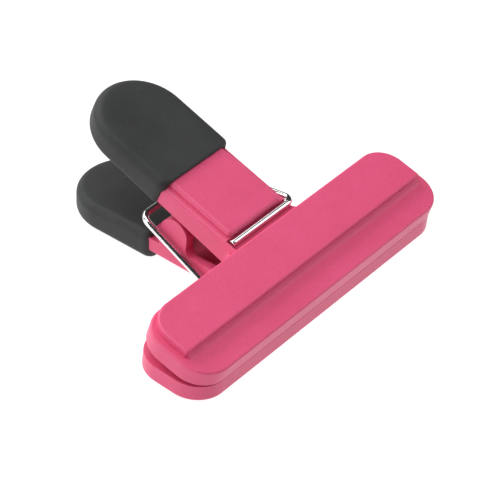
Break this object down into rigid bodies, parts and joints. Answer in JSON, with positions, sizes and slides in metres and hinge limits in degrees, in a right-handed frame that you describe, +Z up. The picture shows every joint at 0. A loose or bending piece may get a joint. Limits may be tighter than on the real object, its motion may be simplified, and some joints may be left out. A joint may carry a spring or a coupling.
{
  "type": "bag clip",
  "caption": "Spring bag clip with a long two-part jaw, lever tongues with soft rubber thumb grips and a bent wire spring.",
  "frame": {"origin": "on the table, under the centre of the clip's bounding box; the clip lies on its lower jaw and lower grip", "axes": "+X along the jaws, +Y from the jaws back towards the grips, +Z up from the table"},
  "size_m": [0.103, 0.0828, 0.0374],
  "materials": {
    "jaw_plastic": "fine matte moulded texture",
    "grip_rubber": "soft-touch matt",
    "spring_wire": "bright nickel-plated wire"
  },
  "bodies": {
    "lower_half": {"lower_jaw": "jaw_plastic", "lower_grip": "grip_rubber"},
    "upper_half": {"upper_jaw": "jaw_plastic", "upper_grip": "grip_rubber"},
    "spring_lower": {"spring_lower_arm": "spring_wire", "spring_torsion_bar": "spring_wire"},
    "spring_upper": {"spring_upper_arm": "spring_wire"}
  },
  "joints": [
    {"name": "jaw_hinge", "type": "hinge", "parent": "lower_half", "child": "upper_half", "pos_m": [0, 0.00089, 0.01311], "axis": [-1, 0, 0], "range_deg": [0, 30], "stiffness_Nm_per_rad": 0.6, "springref_deg": -20.05},
    {"name": "spring_roll", "type": "hinge", "parent": "lower_half", "child": "spring_lower", "pos_m": [0, -0.015, 0.01062], "axis": [-1, 0, 0], "range_deg": [0, 6]},
    {"name": "spring_twist", "type": "hinge", "parent": "spring_lower", "child": "spring_upper", "pos_m": [0, 0.01067, 0.01465], "axis": [-1, 0, 0], "range_deg": [0, 19]}
  ],
  "couplings": [
    {"joint": "spring_roll", "follows": "jaw_hinge", "ratio": 0.1905},
    {"joint": "spring_twist", "follows": "jaw_hinge", "ratio": 0.619}
  ]
}
